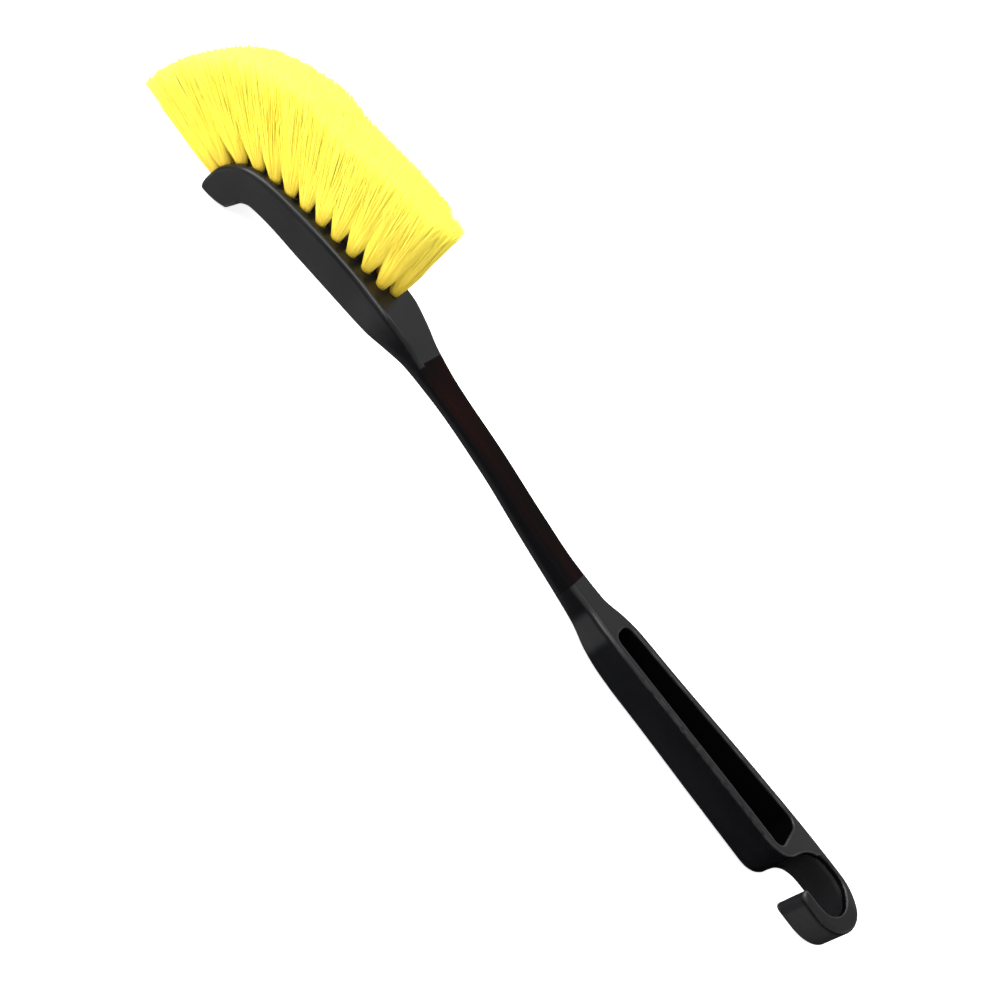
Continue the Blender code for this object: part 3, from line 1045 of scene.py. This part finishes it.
@dataclass
class Bristles:
    """The filaments of a tuft. Sizes in millimetres, angles in degrees."""

    filaments: int = 900
    rings: int = 7
    sides: int = 4
    radius: float = 0.125
    tip_radius: float = 0.11
    pack_radius: float = 2.3
    sink: float = 3.0
    inner_flare: float = 9.0
    outer_flare: float = 1.2
    flare_scatter: float = 0.8
    length_scatter: float = 0.7
    bend: float = 1.2
    swell: float = 1.5
    swell_height: float = 6.0
    trim: Points = ((0, 68.8), (28, 68.5), (45, 71), (60, 73.6), (92, 76.2))
    trim_rounds: int = 6
    least_climb: float = 0.05
    crowding: float = 1.35
    longest: float = 46.0
    top_scatter: float = 0.5

    def build(self, tuft: Tuft, finish: bpy.types.Material, seed: int) -> None:
        """Makes one tuft's filaments and dresses them.

        Args:
            tuft: where the tuft stands.
            finish: the filaments' material.
            seed: seed of its scatter.
        """
        random = np.random.default_rng(seed)
        line = self.lines(tuft, random)
        points, quads = self.tubes(line)
        obj = new_mesh(tuft.name.replace("tuft", "bristles"), points, quads)
        ring = np.linspace(0, 1, self.rings)[None, :, None]
        shape = (self.filaments, self.rings, self.sides)
        add_share(obj, "along", np.broadcast_to(ring, shape))
        tone = random.uniform(0, 1, (self.filaments, 1, 1))
        add_share(obj, "tone", np.broadcast_to(tone, shape))
        obj.data.materials.append(finish)
        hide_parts(tuft.name)

    def lines(self, tuft: Tuft, random: np.random.Generator) -> Array:
        """Centre line of every filament.

        The roots fill the hole as a sunflower's seeds fill its head. A filament leaves the head
        tilted outwards in proportion to how far its root is from the axis, and more so towards
        the middle of the head, which closes the space between the rows. It swells outwards just
        above the hole by a share that fades exponentially, bends a little by the square of the
        distance along it, and ends where the tuft is trimmed: at its full length, or at the
        trim's height at its tip, which a few rounds find.

        Args:
            tuft: where the tuft stands.
            random: source of the scatter.

        Returns:
            The points, as filament, ring and coordinate.
        """
        n = self.filaments
        across = tuft.across()
        other = np.cross(tuft.way, across)
        far = np.sqrt((np.arange(n) + 0.5) / n)
        turn = np.arange(n) * math.pi * (3 - math.sqrt(5))
        u, v = far * np.cos(turn), far * np.sin(turn)
        scatter = random.normal(0, math.radians(self.flare_scatter), (2, n))
        lean_u = np.radians(np.where(u < 0, tuft.front_fan, tuft.rear_fan)) * u + scatter[0]
        inward = v * tuft.root[1] < 0
        flare = np.where(inward, self.inner_flare, self.outer_flare)
        lean_v = np.radians(flare) * v + scatter[1]
        way = tuft.way + lean_u[:, None] * across + lean_v[:, None] * other
        way /= np.linalg.norm(way, axis=1, keepdims=True)
        outward = u[:, None] * across + v[:, None] * other
        start = tuft.root + self.pack_radius * outward
        station, height = np.array(self.trim).T
        unevenness = random.normal(0, self.top_scatter, n)
        offset = (self.pack_radius + self.swell) * u + self.longest * lean_u
        reach = self.longest + tuft.slant * offset + random.normal(0, self.length_scatter, n)
        climb = np.maximum(way[:, 2], self.least_climb)
        length = reach
        for _ in range(self.trim_rounds):
            ceiling = np.interp(start[:, 0] + length * way[:, 0], station, height) + unevenness
            length = np.minimum(reach, (ceiling - start[:, 2]) / climb)
        share = np.linspace(0, 1, self.rings) ** self.crowding
        along = -self.sink + share[None, :] * (length[:, None] + self.sink)
        aside = random.normal(0, self.bend / self.longest**2, (2, n))
        free = np.maximum(along, 0) ** 2
        line = start[:, None] + along[..., None] * way[:, None]
        grown = self.swell * (1 - np.exp(-np.maximum(along, 0) / self.swell_height))
        line += grown[..., None] * outward[:, None]
        line += (free * aside[0][:, None])[..., None] * across
        return line + (free * aside[1][:, None])[..., None] * other

    def tubes(self, line: Array) -> tuple[Array, Array]:
        """Carries a small square, narrowing to the tip, along every centre line.

        Args:
            line: the centre lines, as filament, ring and coordinate.

        Returns:
            The vertices and the quads.
        """
        n, rings, sides = len(line), self.rings, self.sides
        run = line[:, -1] - line[:, 0]
        run /= np.linalg.norm(run, axis=1, keepdims=True)
        first = np.cross(run, [0.36, 0.48, 0.8])
        first /= np.linalg.norm(first, axis=1, keepdims=True)
        second = np.cross(run, first)
        angle = np.arange(sides) * 2 * math.pi / sides
        spoke = (np.cos(angle)[None, :, None] * first[:, None]
                 + np.sin(angle)[None, :, None] * second[:, None])
        radius = np.linspace(self.radius, self.tip_radius, rings)[None, :, None, None]
        points = (line[:, :, None] + radius * spoke[:, None]).reshape(-1, 3)
        number = np.arange(n * rings * sides).reshape(n, rings, sides)
        after = np.roll(number, -1, axis=2)
        walls = np.stack([number[:, :-1], after[:, :-1], after[:, 1:], number[:, 1:]], axis=-1)
        ends = np.vstack([number[:, 0, ::-1], number[:, -1]])
        return points, np.vstack([walls.reshape(-1, 4), ends])


# ---------------- the stage


@dataclass(frozen=True)
class SoftLight:
    """A square soft light that faces the brush: place and side in metres, power in watts."""

    name: str
    place: Colour
    power: float
    side: float

    def hang(self) -> None:
        """Puts the light into the scene."""
        data = bpy.data.lights.new(self.name, "AREA")
        data.energy, data.size = self.power, self.side
        light = linked(self.name, data)
        light.location = self.place
        light.rotation_euler = (-Vector(self.place)).to_track_quat("-Z", "Y").to_euler()


@dataclass
class Stage:
    """The floor, lights and camera. Sizes in metres, angles in degrees."""

    floor_half: float = 8.0
    floor_lines: int = 9
    target: Colour = (0.0008, 0.0, 0.0131)
    elevation: float = 35.0
    roll: float = 51.7
    distance: float = 0.620
    lens: float = 50.8
    world_light: float = 0.62
    horizon: float = 0.06
    soft_lights: tuple[SoftLight, ...] = (
        SoftLight("key", (-0.35, 0.35, 1.5), 11.0, 1.2),
        SoftLight("bristle_side", (-1.2, -0.68, 0.82), 19.0, 0.8),
        SoftLight("edge_light", (-0.35, -0.72, 1.0), 8.0, 0.55))

    def floor(self) -> None:
        """Makes the floor as a flat grid."""
        side = np.linspace(-self.floor_half, self.floor_half, self.floor_lines)
        x, y = np.meshgrid(side, side, indexing="ij")
        points = np.stack([x, y, np.zeros_like(x)], axis=-1).reshape(-1, 3)
        number = np.arange(self.floor_lines**2).reshape(x.shape)
        quads = np.stack([number[:-1, :-1], number[1:, :-1], number[1:, 1:], number[:-1, 1:]], -1)
        mesh = bpy.data.meshes.new("floor")
        mesh.from_pydata(points.tolist(), [], quads.reshape(-1, 4).tolist())
        mesh.update()
        floor = linked("floor", mesh)
        mesh.materials.append(FloorFinish().make())
        floor.visible_glossy = False

    def lights(self) -> None:
        """Hangs the soft lights under an even white sky, with black below the floor."""
        for light in self.soft_lights:
            light.hang()
        world = bpy.data.worlds.new("studio")
        world.use_nodes = True
        tree = world.node_tree
        back = next(n for n in tree.nodes if n.type == "BACKGROUND")
        heading = tree.nodes.new("ShaderNodeTexCoord")
        parts = tree.nodes.new("ShaderNodeSeparateXYZ")
        sky = tree.nodes.new("ShaderNodeMapRange")
        tree.links.new(heading.outputs["Generated"], parts.inputs[0])
        tree.links.new(parts.outputs["Z"], sky.inputs[0])
        for k, value in enumerate((-self.horizon, self.horizon, 0.0, self.world_light), start=1):
            sky.inputs[k].default_value = value
        back.inputs["Color"].default_value = (1.0, 1.0, 1.0, 1.0)
        tree.links.new(sky.outputs[0], back.inputs["Strength"])
        bpy.context.scene.world = world

    def camera(self) -> None:
        """Sets the camera: level with +Y, raised, and turned about its own line of sight."""
        tilt, turn = math.radians(self.elevation), math.radians(self.roll)
        level, rise = Vector((1, 0, 0)), Vector((0, math.sin(tilt), math.cos(tilt)))
        ahead = Vector((0, math.cos(tilt), -math.sin(tilt)))
        right = level * math.cos(turn) + rise * math.sin(turn)
        up = rise * math.cos(turn) - level * math.sin(turn)
        data = bpy.data.cameras.new("camera")
        data.lens, data.sensor_width, data.clip_start = self.lens, 36.0, 0.01
        camera = linked("camera", data)
        place = Matrix.Translation(Vector(self.target) - ahead * self.distance)
        camera.matrix_world = place @ Matrix((right, up, -ahead)).transposed().to_4x4()
        bpy.context.scene.camera = camera

    def build(self) -> None:
        """Sets up the floor, the lights, the camera and plain colour handling."""
        self.floor()
        self.lights()
        self.camera()
        bpy.context.scene.view_settings.view_transform = "Standard"


def dress_anchors(nodes: dict[str, bpy.types.Object], finish: bpy.types.Material) -> int:
    """Gives every CAD anchor its finish.

    Args:
        nodes: the CAD nodes by name.
        finish: the steel's material.

    Returns:
        How many anchors there are.
    """
    anchors = [obj for name, obj in nodes.items() if name.startswith("anchor")]
    for anchor in anchors:
        anchor.data.materials.clear()
        anchor.data.materials.append(finish)
    return len(anchors)


def main() -> None:
    """Builds the brush and its stage, piece by piece."""
    logging.basicConfig(level=logging.INFO, format="%(name)s: %(message)s")
    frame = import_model()
    handle = Handle()
    handle.tufts = TuftField(top=handle.top).layout()
    handle.build(MouldedPlastic().make(), MattPlastic().make())
    filament = FilamentFinish().make()
    bristles = Bristles()
    for seed, tuft in enumerate(handle.tufts):
        bristles.build(tuft, filament, seed)
    LOG.info("tufts: %d of %d filaments", len(handle.tufts), bristles.filaments)
    LOG.info("anchors: %d", dress_anchors(frame["nodes"], SteelFinish().make()))
    Stage().build()


if __name__ == "__main__":
    main()
